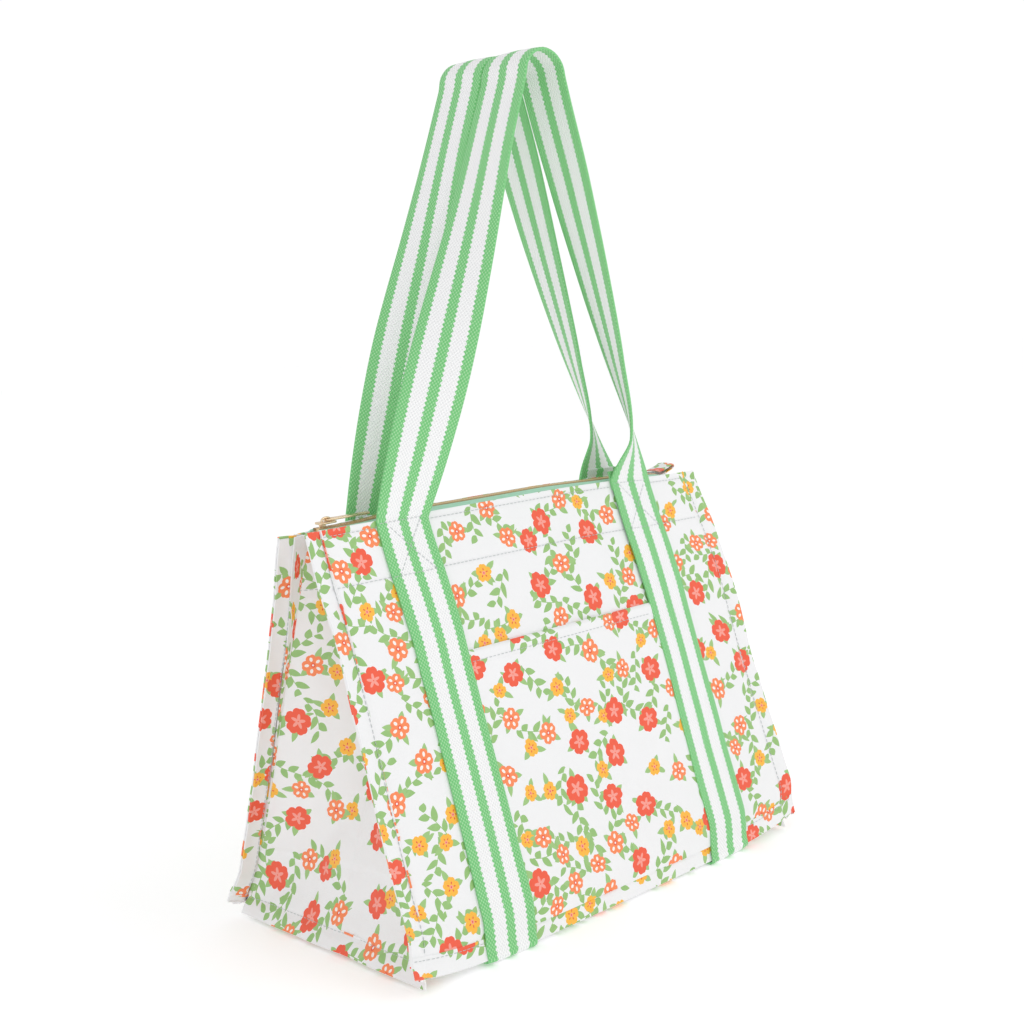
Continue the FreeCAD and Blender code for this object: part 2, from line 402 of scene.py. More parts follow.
def flowerLayer():
    kit = flowerPrint
    tree, given, made = groupOf("flowerLayer",
                                [("Place", "NodeSocketVector"), ("Seed", "NodeSocketVector"),
                                 ("Size", "NodeSocketFloat"), ("Red", "NodeSocketFloat"),
                                 ("Orange", "NodeSocketFloat"), ("Yellow", "NodeSocketFloat")],
                                [("Color", "NodeSocketColor"), ("Mask", "NodeSocketFloat")])
    place, chance, (first, second, third) = cellOf(tree, given.outputs["Place"], kit["cell"],
                                                   given.outputs["Seed"])
    shiftX = times(tree, minus(tree, first, 0.5), kit["jitter"])
    shiftY = times(tree, minus(tree, second, 0.5), kit["jitter"])
    x, y, _ = parts(tree, vectorCalc(tree, "SUBTRACT", place, joined(tree, shiftX, shiftY)))
    far = calc(tree, "SQRT", plus(tree, times(tree, x, x), times(tree, y, y)))
    bearing = plus(tree, calc(tree, "ARCTAN2", y, x), times(tree, third, fullTurn))
    isRed = isBelow(tree, chance, given.outputs["Red"])
    notYellow = isBelow(tree, chance, given.outputs["Orange"])
    isOrange = minus(tree, notYellow, isRed)
    isYellow = minus(tree, 1.0, notYellow)
    blank = isAbove(tree, chance, given.outputs["Yellow"])

    def pick(forRed, forOrange, forYellow):
        both = plus(tree, times(tree, isRed, forRed),
                    times(tree, isOrange, forOrange))
        return plus(tree, both, times(tree, isYellow, forYellow))

    def pickColour(forRed, forOrange, forYellow):
        return mixed(tree, isYellow, mixed(tree, isOrange, forRed, forOrange), forYellow)

    size = times(tree, pick(kit["redSize"], kit["orangeSize"], kit["yellowSize"]),
                given.outputs["Size"])
    share = divided(tree, far, size)             # 0 at the middle of the flower, 1 at its tip

    # five round petals with a small notch at each tip
    wave = positive(tree, calc(tree, "COSINE", times(tree, bearing, 2.5)))
    notch = times(tree, calc(tree, "POWER", wave, 14.0), 0.07)
    outline = minus(tree,
                   scaleAdd(tree, calc(tree, "POWER", wave, 0.55), 0.30, 0.72), notch)
    petals = isBelow(tree, share, outline)

    # marks on each petal: a long pink streak, a white hole or a red dot
    fifth = 2.0 * math.pi / 5.0
    turned = times(tree,
                  minus(tree,
                       calc(tree, "FRACT", scaleAdd(tree, bearing, 1.0 / fifth, 20.5)), 0.5),
                  fifth)
    outAlong = times(tree, share, calc(tree, "COSINE", turned))
    across = times(tree, share, calc(tree, "SINE", turned))
    markAlong = divided(tree, minus(tree, outAlong, pick(0.26, 0.55, 0.40)),
                     pick(0.27, 0.20, 0.13))
    markAcross = divided(tree, across, pick(0.11, 0.135, 0.07))
    mark = isBelow(tree,
                plus(tree, times(tree, markAlong, markAlong),
                     times(tree, markAcross, markAcross)), 1.0)
    eye = isBelow(tree, share, pick(0.17, 0.21, 0.20))
    pupil = isBelow(tree, share, pick(0.05, 0.09, 0.08))
    flower = pickColour(kit["red"], kit["orange"], kit["yellow"])
    flower = mixed(tree, mark, flower, pickColour(kit["pink"], kit["hole"], kit["dot"]))
    flower = mixed(tree, eye, flower, pickColour(kit["pink"], kit["ring"], kit["pink"]))
    flower = mixed(tree, pupil, flower, pickColour(kit["red"], kit["hole"], kit["dot"]))

    # pointed leaves look out from behind the flower, at uneven angles
    turnEach = 2.0 * math.pi / 3.0
    leafTurn = scaleAdd(tree, bearing, 1.0 / turnEach,
                    scaleAdd(tree, first, 3.0, 20.0))
    whole = calc(tree, "FLOOR", leafTurn)
    uneven = calc(tree, "SINE", scaleAdd(tree, whole, 2.4, times(tree, second, 20.0)))
    offset = scaleAdd(tree, uneven, 0.16, 0.5)
    leafAngle = times(tree,
                     minus(tree, minus(tree, leafTurn, whole), offset), turnEach)
    base = times(tree, size, 0.55)
    long = scaleAdd(tree, uneven, 0.0016, kit["leafReach"])
    along = divided(tree, minus(tree, times(tree, far, calc(tree, "COSINE", leafAngle)),
                                      base), long)
    aside = positive(tree, times(tree, far, calc(tree, "SINE", leafAngle)))
    leaves = isBelow(tree, aside, leafBelly(tree, along, kit["leafWidth"]))
    feed(tree, mixed(tree, petals, kit["leaf"], flower), made.inputs["Color"])
    feed(tree, times(tree, calc(tree, "MAXIMUM", petals, leaves), minus(tree, 1.0, blank)),
         made.inputs["Mask"])
    return tree


sprigPrint = {
    "period": 0.0086,           # from one leaf of a sprig to the next
    "half": 0.0092,             # half the length of a sprig
    "leafLong": 0.0092,
    "leafWide": 0.0021,
    "lean": math.radians(44.0),
    "curl": 22.0,
}


def sprigLayer():
    kit = sprigPrint
    tree, given, made = groupOf("sprigLayer",
                                [("Place", "NodeSocketVector"), ("Seed", "NodeSocketVector"),
                                 ("Share", "NodeSocketFloat")],
                                [("Mask", "NodeSocketFloat")])
    place, chance, (first, second, third) = cellOf(tree, given.outputs["Place"], flowerPrint["cell"],
                                                   given.outputs["Seed"])
    angle = times(tree, chance, fullTurn)
    cosine, sine = calc(tree, "COSINE", angle), calc(tree, "SINE", angle)
    x, y, _ = parts(tree, place)
    x = plus(tree, x, times(tree, minus(tree, first, 0.5), 0.004))
    y = plus(tree, y, times(tree, minus(tree, second, 0.5), 0.004))
    stem = plus(tree, times(tree, x, cosine), times(tree, y, sine))
    off = minus(tree, times(tree, y, cosine), times(tree, x, sine))
    bend = times(tree, times(tree, stem, stem),
                times(tree, minus(tree, third, 0.5), kit["curl"] * 2.0))
    off = plus(tree, off, bend)
    under = isBelow(tree, off, 0.0)
    stepped = plus(tree, divided(tree, stem, kit["period"]),
                   times(tree, under, 0.5))
    whole = calc(tree, "FLOOR", stepped)
    along = times(tree, minus(tree, minus(tree, stepped, whole), 0.18),
                 kit["period"])
    out = positive(tree, off)
    leafAlong = plus(tree, times(tree, along, math.cos(kit["lean"])),
                     times(tree, out, math.sin(kit["lean"])))
    leafAcross = positive(tree,
                      minus(tree, times(tree, out, math.cos(kit["lean"])),
                           times(tree, along, math.sin(kit["lean"]))))
    size = scaleAdd(tree, calc(tree, "SINE", scaleAdd(tree, whole, 2.1,
                                                              times(tree, first, 9.0))),
                0.0014, kit["leafLong"] - 0.0014)
    belly = leafBelly(tree, divided(tree, leafAlong, size), kit["leafWide"])
    leaves = isBelow(tree, leafAcross, belly)
    fromRoot = positive(tree, times(tree, whole, kit["period"]))
    leaves = times(tree, leaves, isBelow(tree, fromRoot, kit["half"]))
    line = isBelow(tree, out, 0.00022)
    line = times(tree, line, isBelow(tree, positive(tree, stem), kit["half"]))
    grown = isBelow(tree, third, given.outputs["Share"])
    feed(tree, times(tree, calc(tree, "MAXIMUM", leaves, line), grown), made.inputs["Mask"])
    return tree


def shaderFor(name):
    material = bpy.data.materials.new(name)
    material.use_nodes = True
    tree = material.node_tree
    return material, tree, tree.nodes["Principled BSDF"]


def setValues(shader, values):
    for label, value in values.items():
        shader.inputs[label].default_value = value


def bumped(tree, shader, height, strength, distance):
    bump = tree.nodes.new("ShaderNodeBump")
    bump.inputs["Strength"].default_value = strength
    bump.inputs["Distance"].default_value = distance
    feed(tree, height, bump.inputs["Height"])
    tree.links.new(bump.outputs["Normal"], shader.inputs["Normal"])


def printedCloth():
    kit = flowerPrint
    material, tree, shader = shaderFor("printedCloth")
    place = clothPlace(tree)
    drift = vectorCalc(tree, "SUBTRACT", noised(tree, place, 26.0, 1.0, colour=True), (0.5, 0.5, 0.5))
    drifted = vectorCalc(tree, "ADD", place, vectorCalc(tree, "MULTIPLY", drift,
                                                              (kit["drift"], kit["drift"], 0.0)))
    turn = tree.nodes.new("ShaderNodeVectorRotate")
    turn.inputs["Axis"].default_value = (0.0, 0.0, 1.0)
    turn.inputs["Angle"].default_value = kit["turn"]
    feed(tree, drifted, turn.inputs["Vector"])
    flowers, sprigs = flowerLayer(), sprigLayer()
    colour = mixed(tree, noised(tree, place, 60.0, 2.0), kit["ground"], kit["groundDark"])
    for seed, share in (((31.5, 12.0, 1.0), 0.78), ((9.0, 44.5, 2.0), 0.38)):
        sprig = tree.nodes.new("ShaderNodeGroup")
        sprig.node_tree = sprigs
        feed(tree, turn.outputs[0], sprig.inputs["Place"])
        sprig.inputs["Seed"].default_value = seed
        sprig.inputs["Share"].default_value = share
        tone = mixed(tree, noised(tree, place, 90.0), kit["leaf"], kit["leafDark"])
        colour = mixed(tree, sprig.outputs["Mask"], colour, tone)
    # a thin scatter of small flowers, then the main ones over it: where they meet they make clusters
    for seed, size, shares in (((5.36, 7.28, 3.0), 0.9, (0.06, 0.24, 0.44)),
                               ((20.0, 30.0, 4.0), 1.0, (0.36, 0.72, 1.1))):
        flower = tree.nodes.new("ShaderNodeGroup")
        flower.node_tree = flowers
        feed(tree, turn.outputs[0], flower.inputs["Place"])
        flower.inputs["Seed"].default_value = seed
        flower.inputs["Size"].default_value = size
        for label, share in zip(("Red", "Orange", "Yellow"), shares):
            flower.inputs[label].default_value = share
        colour = mixed(tree, flower.outputs["Mask"], colour, flower.outputs["Color"])
    feed(tree, colour, shader.inputs["Base Color"])
    slub = vectorCalc(tree, "MULTIPLY", place, (1.0, 2.6, 1.0))
    rough = scaleAdd(tree, noised(tree, slub, 420.0, 3.0), kit["roughMore"], kit["rough"])
    feed(tree, rough, shader.inputs["Roughness"])
    setValues(shader, {"Specular IOR Level": 0.45, "Coat Weight": 0.25, "Coat Roughness": 0.22})
    height = plus(tree, noised(tree, slub, 700.0, 2.0),
                  times(tree, noised(tree, place, 75.0, 2.0), 2.2))
    bumped(tree, shader, height, 0.35, kit["grainHigh"])
    return material


lining = {"colour": ink(176, 224, 200), "dark": ink(150, 206, 178), "pitch": 0.0011}


def wovenCloth(name, colour, dark, pitch):
    material, tree, shader = shaderFor(name)
    x, y, _ = parts(tree, clothPlace(tree))
    warp = calc(tree, "SINE", times(tree, x, 2.0 * math.pi / pitch))
    weft = calc(tree, "SINE", times(tree, y, 2.0 * math.pi / pitch))
    weave = times(tree, warp, weft)
    share = scaleAdd(tree, weave, 0.35, 0.35)
    cloudy = noised(tree, clothPlace(tree), 45.0, 3.0)
    share = plus(tree, share, times(tree, cloudy, 0.3))
    feed(tree, mixed(tree, share, colour, dark), shader.inputs["Base Color"])
    setValues(shader, {"Roughness": 0.7, "Sheen Weight": 0.15, "Sheen Roughness": 0.4})
    bumped(tree, shader, weave, 0.4, 0.0002)
    return material


webbing = {
    "centre": 0.085,            # half the green stripe in the middle, as a share of the width
    "border": 0.335,            # where the outer green stripes start
    "jag": 0.034,               # the stripes' edges step in and out with the picks
    "pick": 0.0030,
    "dot": 0.00105,
    "green": ink(112, 198, 120),
    "greenLight": ink(176, 228, 172),
    "white": ink(252, 252, 252),
    "whiteDark": ink(230, 231, 233),
}


def webbingCloth():
    kit = webbing
    material, tree, shader = shaderFor("stripedWebbing")
    u, v, _ = parts(tree, clothPlace(tree))
    steps = calc(tree, "PINGPONG", v, kit["pick"] / 2.0)
    jag = times(tree, minus(tree, divided(tree, steps, kit["pick"] / 2.0), 0.5),
               kit["jag"])
    off = positive(tree, u)
    centre = isBelow(tree, plus(tree, off, jag), kit["centre"])
    border = isAbove(tree, plus(tree, off, jag), kit["border"])
    green = calc(tree, "MAXIMUM", centre, border)
    acrossWave = calc(tree, "SINE", times(tree, u, 2.0 * math.pi * webWidth / (kit["dot"] * 2.0)))
    alongWave = calc(tree, "SINE", times(tree, v, 2.0 * math.pi / (kit["dot"] * 2.4)))
    weave = times(tree, acrossWave, alongWave)
    tone = calc(tree, "SMOOTH_MAX", scaleAdd(tree, weave, 0.75, 0.22), 0.0, 0.2)
    fuzz = noised(tree, clothPlace(tree), 300.0, 2.0)
    tone = times(tree, tone, scaleAdd(tree, fuzz, 0.8, 0.6))
    greens = mixed(tree, tone, kit["green"], kit["greenLight"])
    whites = mixed(tree, tone, kit["white"], kit["whiteDark"])
    feed(tree, mixed(tree, green, whites, greens), shader.inputs["Base Color"])
    setValues(shader, {"Roughness": 0.62, "Sheen Weight": 0.2, "Sheen Roughness": 0.35})
    bumped(tree, shader, weave, 0.55, 0.0003)
    return material


def metalFinish(name, colour, dark, roughness, metallic):
    material, tree, shader = shaderFor(name)
    where = tree.nodes.new("ShaderNodeTexCoord").outputs["Object"]
    # a noise mottle mixes the colour towards dark: painted reflection of dark surroundings; the same noise also
    # varies roughness and bump
    paintedReflectionMottle = noised(tree, where, 900.0, 3.0)
    feed(tree, mixed(tree, paintedReflectionMottle, colour, dark), shader.inputs["Base Color"])
    shader.inputs["Metallic"].default_value = metallic
    feed(tree, scaleAdd(tree, paintedReflectionMottle, 0.18, roughness), shader.inputs["Roughness"])
    bumped(tree, shader, paintedReflectionMottle, 0.12, 0.0001)
    return material


def threadFinish():
    material, tree, shader = shaderFor("greyThread")
    where = tree.nodes.new("ShaderNodeTexCoord").outputs["Object"]
    feed(tree, mixed(tree, noised(tree, where, 1500.0), ink(206, 211, 210), ink(176, 183, 183)),
         shader.inputs["Base Color"])
    setValues(shader, {"Roughness": 0.55, "Sheen Weight": 0.2})
    return material


floralCloth = printedCloth()
mintLining = wovenCloth("mintLining", lining["colour"], lining["dark"], lining["pitch"])
zipTapeCloth = wovenCloth("mintTape", ink(186, 232, 208), ink(164, 218, 190), 0.0009)
stripedWebbing = webbingCloth()
# the second, darker colour of each metal is painted reflection, laid on by a noise mottle
goldTeeth = metalFinish("goldTeeth", ink(246, 218, 172), ink(234, 198, 146), 0.34, 0.45)
paleGold = metalFinish("paleGold", ink(246, 226, 196), ink(222, 192, 150), 0.18, 1.0)
greyThread = threadFinish()
print("stage: materials made")


# A layer of a piece: its corners, its faces, where each corner is in the cloth, and which finish it takes
def layerOf(corners, faces, places, finish=0):
    return {"corners": corners, "faces": faces, "places": places, "finish": finish}


def clothLayer(place, across, along, thick, outward, printed, finish=0):
    # two skins and a rim from a grid: place(a, b) is a spot on the outer skin,
    # and printed(a, b) is that spot's place in the cloth
    rows = [[place(a, b) for a in across] for b in along]
    last, end = len(rows) - 1, len(across) - 1

    def normalAt(i, j):
        sideways = rows[i][min(j + 1, end)] - rows[i][max(j - 1, 0)]
        upward = rows[min(i + 1, last)][j] - rows[max(i - 1, 0)][j]
        return sideways.cross(upward).normalized()

    flip = normalAt(last // 2, end // 2).dot(Vector(outward)) < 0.0
    sign = -1.0 if flip else 1.0
    outer = [spot for row in rows for spot in row]
    inner = [rows[i][j] - normalAt(i, j) * (sign * thick) for i in range(last + 1) for j in range(end + 1)]
    wide, count = end + 1, len(outer)
    faces = []
    for i in range(last):
        for j in range(end):
            a = i * wide + j
            ring = (a, a + 1, a + 1 + wide, a + wide)
            faces.append(ring[::-1] if flip else ring)
            back = tuple(k + count for k in ring)
            faces.append(back if flip else back[::-1])
    rim = list(range(end)) + [i * wide + end for i in range(last)]
    rim += [last * wide + j for j in range(end, 0, -1)] + [i * wide for i in range(last, 0, -1)]
    for k, a in enumerate(rim):
        b = rim[(k + 1) % len(rim)]
        ring = (b, a, a + count, b + count)
        faces.append(ring[::-1] if flip else ring)
    spots = [printed(a, b) for b in along for a in across]
    return layerOf(outer + inner, faces, spots + spots, finish)


def tubeFaces(rings, sides, first=0):
    # the wall between rings of corners, and a lid on each end
    faces = []
    for n in range(rings - 1):
        for k in range(sides):
            a, b = first + n * sides + k, first + n * sides + (k + 1) % sides
            faces.append((a, b, b + sides, a + sides))
    faces.append(tuple(range(first, first + sides))[::-1])
    faces.append(tuple(range(first + (rings - 1) * sides, first + rings * sides)))
    return faces


stitch = {"long": 0.0025, "gap": 0.0008, "thick": 0.00021, "sides": 5}


def stitchLayer(path, outward, finish=1):
    # short raised threads along a line; outward is the side of the cloth they show on
    kit = stitch
    runs = [0.0]
    for a, b in zip(path, path[1:]):
        runs.append(runs[-1] + (b - a).length)

    def spotAt(length):
        k = 1
        while k < len(runs) - 1 and runs[k] < length:
            k += 1
        part = (length - runs[k - 1]) / max(runs[k] - runs[k - 1], 1e-9)
        return path[k - 1].lerp(path[k], part)

    pitch = kit["long"] + kit["gap"]
    corners, faces = [], []
    outward = Vector(outward).normalized()
    for n in range(int(runs[-1] / pitch)):
        start, stop = spotAt(n * pitch), spotAt(n * pitch + kit["long"])
        way = (stop - start).normalized()
        sideways = way.cross(outward).normalized()
        up = sideways.cross(way)
        first = len(corners)
        for share, fat, high in ((0.0, 0.35, -0.4), (0.22, 1.0, 0.45), (0.78, 1.0, 0.45), (1.0, 0.35, -0.4)):
            middle = start.lerp(stop, share) + up * (high * kit["thick"])
            for k in range(kit["sides"]):
                turn = 2.0 * math.pi * k / kit["sides"]
                reach = fat * kit["thick"]
                corners.append(middle + sideways * (reach * math.cos(turn)) + up * (reach * math.sin(turn)))
        faces += tubeFaces(4, kit["sides"], first)
    return layerOf(corners, faces, [(0.0, 0.0)] * len(corners), finish)


def makePiece(name, layers, finishes, smooth=True):
    corners, faces, places, slots = [], [], [], []
    for layer in layers:
        first = len(corners)
        corners += layer["corners"]
        places += layer["places"]
        for face in layer["faces"]:
            faces.append(tuple(k + first for k in face))
            slots.append(layer["finish"])
    mesh = bpy.data.meshes.new(name)
    mesh.from_pydata([tuple(c) for c in corners], [], faces)
    mesh.uv_layers.new(name="place")
    spots = []
    for loop in mesh.loops:
        spots += places[loop.vertex_index]
    mesh.uv_layers["place"].data.foreach_set("uv", spots)
    mesh.polygons.foreach_set("material_index", slots)
    mesh.polygons.foreach_set("use_smooth", [smooth] * len(faces))
    for finish in finishes:
        mesh.materials.append(finish)
    mesh.update()
    if smooth:
        # the cut edges of the cloth stay crisp
        mesh.set_sharp_from_angle(angle=math.radians(55.0))
    piece = bpy.data.objects.new(name, mesh)
    scene.collection.objects.link(piece)
    return piece


def attach(piece, body, node):
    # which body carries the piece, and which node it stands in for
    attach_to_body(piece, body)
    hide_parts(node)


def evenly(low, high, step):
    count = max(1, round((high - low) / step))
    return [low + (high - low) * k / count for k in range(count + 1)]


def withSeams(values, seams, near=0.0012):
    # the same places with more of them beside each seam
    extra = [s + d * near for s in seams for d in (-2, -1, 0, 1, 2)]
    kept = [v for v in values if all(abs(v - e) > near * 0.6 for e in extra)]
    low, high = values[0], values[-1]
    return sorted(kept + [e for e in extra if low < e < high] + [v for v in (low, high) if v not in kept])


def panelColumns():
    # closer together beside the side seams, where the cloth is pinched
    right = [1.0 + k for k in (-0.036, -0.024, -0.016, -0.010, -0.005, 0.0, 0.08, 0.17, 0.28, 0.42, 0.6, 0.8, 1.0)]
    return [-c for c in reversed(right)] + evenly(-0.95, 0.95, 0.028) + right


def up(z):
    return z / math.cos(slant)


# Front and back: outer cloth with its fins, wrapped base edge, turned seams, lining and facing
panel = {
    "row": 0.0045,
    "edgeStitch": 0.0040,       # the row of stitches below the top edge
    "facingStitch": 0.0330,     # the row that holds the facing
    "wrapStitch": 0.0022,
    "dimple": 0.0004,
    "finRow": 0.006,
    "liningRow": 0.008,
    "liningThick": 0.0008,
    "facingThick": 0.0009,
}


def makePanel(side, name, body):
    outward = (0.0, side, 0.0)
    shift = (0.0, 0.0) if side < 0 else (0.517, 0.263)

    def spot(c, v, out):
        return panelSpot(side, columnX(c, v * math.cos(slant)), v, out)

    def printed(c, v):
        return side * columnX(c, v * math.cos(slant)) + shift[0], v + shift[1]

    seams = [slantLength - panel["edgeStitch"], slantLength - panel["facingStitch"]]
    rows = withSeams(evenly(0.006, slantLength, panel["row"]), seams)

    def outer(c, v):
        # the cloth dips at each row of stitches
        nearest = min(abs(v - s) for s in seams)
        return spot(c, v, -panel["dimple"] * math.exp(-(nearest / 0.001) ** 2))

    layers = [clothLayer(outer, panelColumns(), rows, clothThick, outward, printed)]
    reach = evenly(-0.99, 0.99, 0.02)
    for v in seams:
        layers.append(stitchLayer([spot(c, v, 0.0001) for c in reach], outward))
    for end in (-1, 1):
        layers.append(stitchLayer([spot(end, v, 0.0002) for v in rows if v > wrapHeight], outward))
    piece = makePiece(name + "_panel_cloth", layers, (floralCloth, greyThread))
    attach(piece, body, name + "_panel")

    # the turned edges behind the fins
    inward = (0.0, -side, 0.0)
    for end, label in ((-1, "left"), (1, "right")):
        columns = sorted(end * (1.0 + k) for k in (0.04, 0.3, 0.55, 0.8, 0.985))
        rows = evenly(0.008, slantLength - 0.001, panel["finRow"])
        behind = 2.0 * clothThick + 0.0001
        layers = [clothLayer(lambda c, v: spot(c, v, -behind), columns, rows, clothThick - 0.0001,
                             inward, lambda c, v: (printed(c, v)[0] + 0.31, printed(c, v)[1] + 0.117))]
        c = end * (1.0 + 0.0011 / seamFin)
        layers.append(stitchLayer([spot(c, v, -2.0 * clothThick - 0.0002) for v in rows], inward))
        piece = makePiece(name + "_" + label + "_fin", layers, (floralCloth, greyThread))
        attach(piece, body, name + "_" + label + "_seam")

    # the base cloth comes up round the bottom edge
    columns = panelColumns()
    rows = [up(wrapHeight) - d for d in (0.0, 0.0006, 0.0016, 0.0022, 0.003, 0.0045)]
    rows += evenly(up(wrapHeight) - 0.006, turnReach, 0.0012)
    rows += evenly(turnReach - 0.0006, turnReach - turnLength - 0.0006, 0.0006)
    rows += evenly(turnReach - turnLength - 0.002, turnReach - turnLength - 0.007, 0.002)
    rows = rows[::-1]

    def wrapOut(v):
        under = ramp(v, up(wrapHeight), up(wrapHeight) - 0.0012)
        dimple = 0.0004 * math.exp(-((v - up(wrapHeight) + panel["wrapStitch"]) / 0.0008) ** 2)
        return (0.0003 + 0.0006 * under - dimple) * ramp(v, turnReach - turnLength, turnReach)

    layers = [clothLayer(lambda c, v: spot(c, v, wrapOut(v)), columns, rows, 0.0011, outward,
                         lambda c, v: (printed(c, v)[0] + 0.723, 0.061 - v))]
    v = up(wrapHeight) - panel["wrapStitch"]
    layers.append(stitchLayer([spot(c, v, wrapOut(v) + 0.0001) for c in evenly(-1.9, 1.9, 0.03)], outward))
    piece = makePiece(name + "_base_wrap", layers, (floralCloth, greyThread))
    attach(piece, body, name + "_bottom_seam")

    # inside: lining, then the facing round the mouth
    columns = evenly(-0.972, 0.972, 0.036)
    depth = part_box("base_lining")[1].z
    rows = evenly(0.010, slantLength - 0.003, panel["liningRow"])
    layers = [clothLayer(lambda c, v: spot(c, v, -depth), columns, rows, panel["liningThick"], inward,
                         lambda c, v: (c * baseHalf, v))]
    piece = makePiece(name + "_lining_cloth", layers, (mintLining, greyThread))
    attach(piece, body, name + "_lining")

    floor = slantLength - panel["facingStitch"] - 0.003
    rows = evenly(floor, slantLength - 0.0006, 0.004)
    thick = panel["facingThick"]
    layers = [clothLayer(lambda c, v: spot(c, v, -depth - thick), columns, rows, thick, inward,
                         lambda c, v: (printed(c, v)[0] + 0.19, printed(c, v)[1] + 0.41))]
    layers.append(stitchLayer([spot(c, slantLength - panel["facingStitch"], -depth - 0.0019) for c in columns],
                              inward))
    piece = makePiece(name + "_facing_cloth", layers, (floralCloth, greyThread))
    attach(piece, body, name + "_facing")
    2 * halfInside(bodyHeight)


makePanel(-1, "front", "front_shell")
makePanel(1, "back", "back_shell")
print("stage: panels made")


# The pocket on the front, between the straps
pocket = {"reach": strapX - webWidth / 2 + 0.0030, "gape": 0.0007, "hemRise": 0.0004, "stitch": 0.0070}


def makePocket():
    kit = pocket
    outward = (0.0, -1.0, 0.0)

    def out(x, v, extra=0.0):
        away = kit["gape"] * (1.0 - (x / kit["reach"]) ** 2) * ramp(v, up(pocketTop) - 0.05, up(pocketTop))
        away += 0.0008 * noise.noise(Vector((x * 25.0, v * 18.0, 9.0))) * (1.0 - (x / kit["reach"]) ** 4)
        return clothThick + 0.0004 + away + extra

    columns = evenly(-kit["reach"], kit["reach"], 0.0045)
    stitchV = up(pocketTop) - kit["stitch"]
    rows = withSeams(evenly(up(wrapHeight) - 0.003, up(pocketFold) + 0.001, 0.0045), (stitchV,), 0.001)
    piece = makePiece("front_pocket_cloth", [clothLayer(
        lambda x, v: panelSpot(-1, x, v, out(x, v)), columns, rows, clothThick, outward,
        lambda x, v: (x + 1.204, v + 0.337))], (floralCloth,))
    attach(piece, "front_shell", "front_pocket")

    # its mouth is folded over and sewn
    def hemOut(x, v):
        rounded = 0.0012 * ramp(v, up(pocketTop) - 0.0022, up(pocketTop)) ** 2
        dimple = 0.0002 * math.exp(-((v - stitchV) / 0.0009) ** 2)
        return out(x, v, kit["hemRise"] - rounded - dimple)

    rows = withSeams(evenly(up(pocketFold) - 0.0006, up(pocketTop), 0.0009), (stitchV,), 0.0005)
    layers = [clothLayer(lambda x, v: panelSpot(-1, x, v, hemOut(x, v)), columns, rows, 0.0018, outward,
                         lambda x, v: (x + 1.204, v + 0.337))]
    layers.append(stitchLayer([panelSpot(-1, x, stitchV, hemOut(x, stitchV) + 0.0001) for x in columns[1:-1]],
                              outward))
    piece = makePiece("front_pocket_mouth", layers, (floralCloth, greyThread))
    attach(piece, "front_shell", "front_pocket_hem")


makePocket()


# Gussets: each is one cloth, shown in level bands
def gussetBand(end, low, high, out, thick, outward, tongue, edge):
    columns = withSeams(evenly(-edge, edge, 0.045), (0.0,), 0.012)
    rows = withSeams(evenly(low, high, 0.005), (gusset["finHeight"],), 0.0012)
    if low > 0.001:
        rows = [low - 0.0022, low - 0.0005] + rows

    def spot(c, z):
        tucked = tongue * (1.0 - ramp(z, low - 0.0006, low)) if low > 0.001 else 0.0
        return gussetSpot(end, c, z, out - tucked)

    return clothLayer(spot, columns, rows, thick, outward,
                      lambda c, z: (-end * c * gussetReach(z) + 2.31 + 0.44 * end, z + 0.083)), rows


def makeGusset(end, name):
    bands = gusset["bands"]
    floor = 0.0002
    facingZ = facingFloor + 0.0008
    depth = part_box("base_lining")[1].z
    for k in range(bands):
        low = floor + (bodyHeight - floor) * k / bands
        high = floor + (bodyHeight - floor) * (k + 1) / bands
        wide = 2.0 * gussetReach((low + high) / 2)
        layer, rows = gussetBand(end, low, high, 0.0, clothThick, (end, 0, 0), 0.0004, 1.0)
        layers = [layer]
        for z in (gusset["finHeight"], facingZ):
            if low < z <= high:
                layers.append(stitchLayer([gussetSpot(end, c, z, 0.0001) for c in evenly(-0.99, 0.99, 0.04)],
                                          (end, 0, 0)))
        piece = makePiece("%s_gusset_band_%d" % (name, k + 1), layers, (floralCloth, greyThread))
        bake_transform(piece)
        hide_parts(name + "_gusset")
        inner, rows = gussetBand(end, max(low, 0.013), high - 0.002, -depth - 0.0004, 0.0008, (-end, 0, 0),
                                 0.0006, 0.985)
        piece = makePiece("%s_gusset_lining_%d" % (name, k + 1), [inner], (mintLining,))
        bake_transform(piece)
        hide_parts(name + "_gusset_lining")


tuck = {
    "openTop": 0.085,           # how wide the printed cloth is at the top when it is pulled out
    "row": 0.006,
    "behind": 0.0040,           # from the outside of the back to the tuck
    "thick": 0.0010,
}


def makeTuck(end, name):
    # spare cloth folded in beside the back corner: it pulls out as the mouth opens
    low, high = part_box(name + "_gusset_tuck")
    outer, inner = (low.x, high.x) if end < 0 else (high.x, low.x)

    def spot(share, z):
        x = outer + (inner - outer) * share
        back = halfDepth(z) - tuck["behind"]
        return settle(x, back + 0.0002 * math.sin(share * 9.0), z)

    def printed(share, z):
        return share * tuck["openTop"] * z / bodyHeight + 3.1, z + 0.4

    rows = evenly(0.003, bodyHeight - 0.001, tuck["row"])
    layers = [clothLayer(spot, evenly(0.0, 1.0, 0.08), rows, tuck["thick"], (0, 1, 0), printed)]
    piece = makePiece(name + "_tuck_cloth", layers, (floralCloth,))
    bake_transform(piece)
    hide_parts(name + "_gusset_tuck")


for gussetEnd, gussetName in ((-1, "left"), (1, "right")):
    makeGusset(gussetEnd, gussetName)
    makeTuck(gussetEnd, gussetName)
print("stage: gussets made")


base = {
    "edge": 0.0030,             # the cloth stops this far inside the turned edges
    "end": 0.0058,              # and this far inside the gussets
    "bend": 1.15,               # a bend longer than the base keeps the folded cloth between the panels
    "liningEnd": 0.0040,
    "liningUp": 0.0030,
    "liningThick": 0.0008,
}


